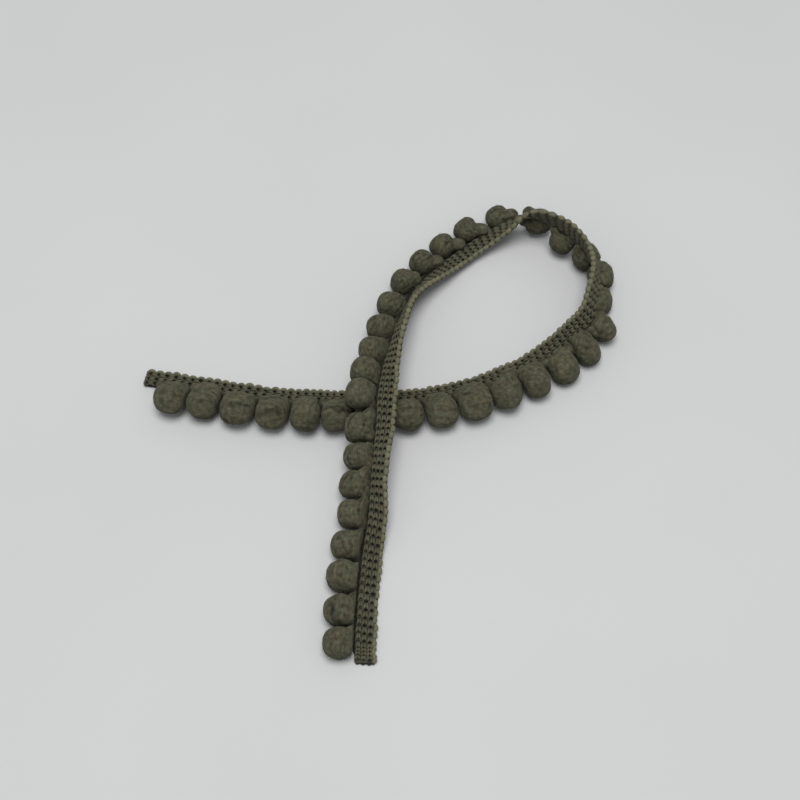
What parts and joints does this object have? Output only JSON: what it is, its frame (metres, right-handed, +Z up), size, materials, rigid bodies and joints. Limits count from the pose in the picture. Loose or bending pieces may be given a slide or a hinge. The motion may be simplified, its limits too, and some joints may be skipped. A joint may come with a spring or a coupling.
{
  "type": "pompom fringe trim",
  "caption": "Narrow knitted trim heading with a row of small yarn pompoms along one edge, laid in an open loop that crosses over itself.",
  "frame": {"origin": "centre of the laid trim's footprint, on the surface that it lies on", "axes": "+Z up from the surface; +X along the first straight run, from its cut end towards the loop; +Y from the other cut end towards the top of the loop"},
  "size_m": [0.0963, 0.103, 0.0108],
  "materials": {
    "heading_yarn": "matte knitted yarn in olive khaki",
    "pompom_yarn": "matte soft roving in olive khaki, slightly fuzzy"
  },
  "bodies": {
    "root": {"heading": "heading_yarn", "pompom_01": "pompom_yarn", "pompom_02": "pompom_yarn", "pompom_03": "pompom_yarn", "pompom_04": "pompom_yarn", "pompom_05": "pompom_yarn", "pompom_06": "pompom_yarn", "pompom_07": "pompom_yarn", "pompom_08": "pompom_yarn", "pompom_09": "pompom_yarn", "pompom_10": "pompom_yarn", "pompom_11": "pompom_yarn", "pompom_12": "pompom_yarn", "pompom_13": "pompom_yarn", "pompom_14": "pompom_yarn", "pompom_15": "pompom_yarn", "pompom_16": "pompom_yarn", "pompom_17": "pompom_yarn", "pompom_18": "pompom_yarn", "pompom_19": "pompom_yarn", "pompom_20": "pompom_yarn", "pompom_21": "pompom_yarn", "pompom_22": "pompom_yarn", "pompom_23": "pompom_yarn", "pompom_24": "pompom_yarn", "pompom_25": "pompom_yarn", "pompom_26": "pompom_yarn", "pompom_27": "pompom_yarn", "pompom_28": "pompom_yarn", "pompom_29": "pompom_yarn", "pompom_30": "pompom_yarn", "pompom_31": "pompom_yarn", "pompom_32": "pompom_yarn", "pompom_33": "pompom_yarn", "pompom_34": "pompom_yarn", "pompom_35": "pompom_yarn", "pompom_36": "pompom_yarn", "pompom_37": "pompom_yarn", "pompom_38": "pompom_yarn"}
  },
  "joints": []
}
